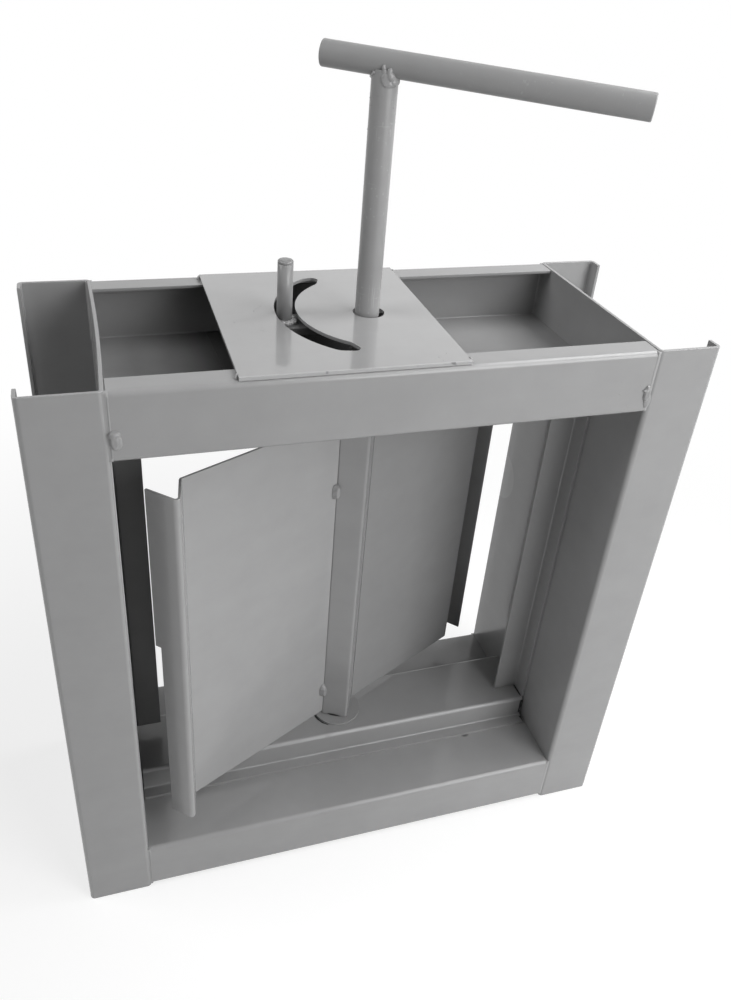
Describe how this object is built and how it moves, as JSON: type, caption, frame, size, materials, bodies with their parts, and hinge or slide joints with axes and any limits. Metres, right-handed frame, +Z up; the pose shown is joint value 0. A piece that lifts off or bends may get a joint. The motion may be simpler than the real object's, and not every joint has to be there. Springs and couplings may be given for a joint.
{
  "type": "volume damper",
  "caption": "Square single-blade volume damper for an air duct: folded sheet frame with flanges, a pivoting two-leaf blade and a bar handle with an index pin in a curved slot.",
  "frame": {"origin": "where the shaft's axis meets the floor that the two side channels stand on, in the middle of the duct opening", "axes": "+X across the opening to the right as seen from the front, +Y along the air flow to the rear, +Z up along the shaft"},
  "size_m": [0.382, 0.1539, 0.5266],
  "materials": {
    "frame_paint": "semi-gloss grey paint on folded sheet steel",
    "blade_paint": "semi-gloss grey paint on folded sheet steel",
    "bar_steel": "semi-gloss grey paint on round bar",
    "bush_steel": "painted turned steel",
    "weld_metal": "painted weld beads"
  },
  "bodies": {
    "frame": {"left_side_channel": "frame_paint", "right_side_channel": "frame_paint", "top_channel": "frame_paint", "bottom_channel": "frame_paint", "bottom_rail": "frame_paint", "top_rail": "frame_paint", "left_stop_angle": "frame_paint", "right_stop_angle": "frame_paint", "slotted_plate": "frame_paint", "lower_bush": "bush_steel", "upper_bush": "bush_steel", "frame_welds": "weld_metal", "plate_welds": "weld_metal"},
    "blade": {"shaft": "bar_steel", "handle_bar": "bar_steel", "handle_weld": "weld_metal", "crank_arm": "bar_steel", "crank_weld": "weld_metal", "index_pin": "bar_steel", "pin_weld": "weld_metal", "blade_tube": "blade_paint", "tube_weld": "weld_metal", "left_leaf": "blade_paint", "right_leaf": "blade_paint", "leaf_welds": "weld_metal"}
  },
  "joints": [
    {"name": "blade_turn", "type": "hinge", "parent": "frame", "child": "blade", "pos_m": [0, 0, 0.2], "axis": [0, 0, 1], "range_deg": [-27.2, 45]}
  ]
}
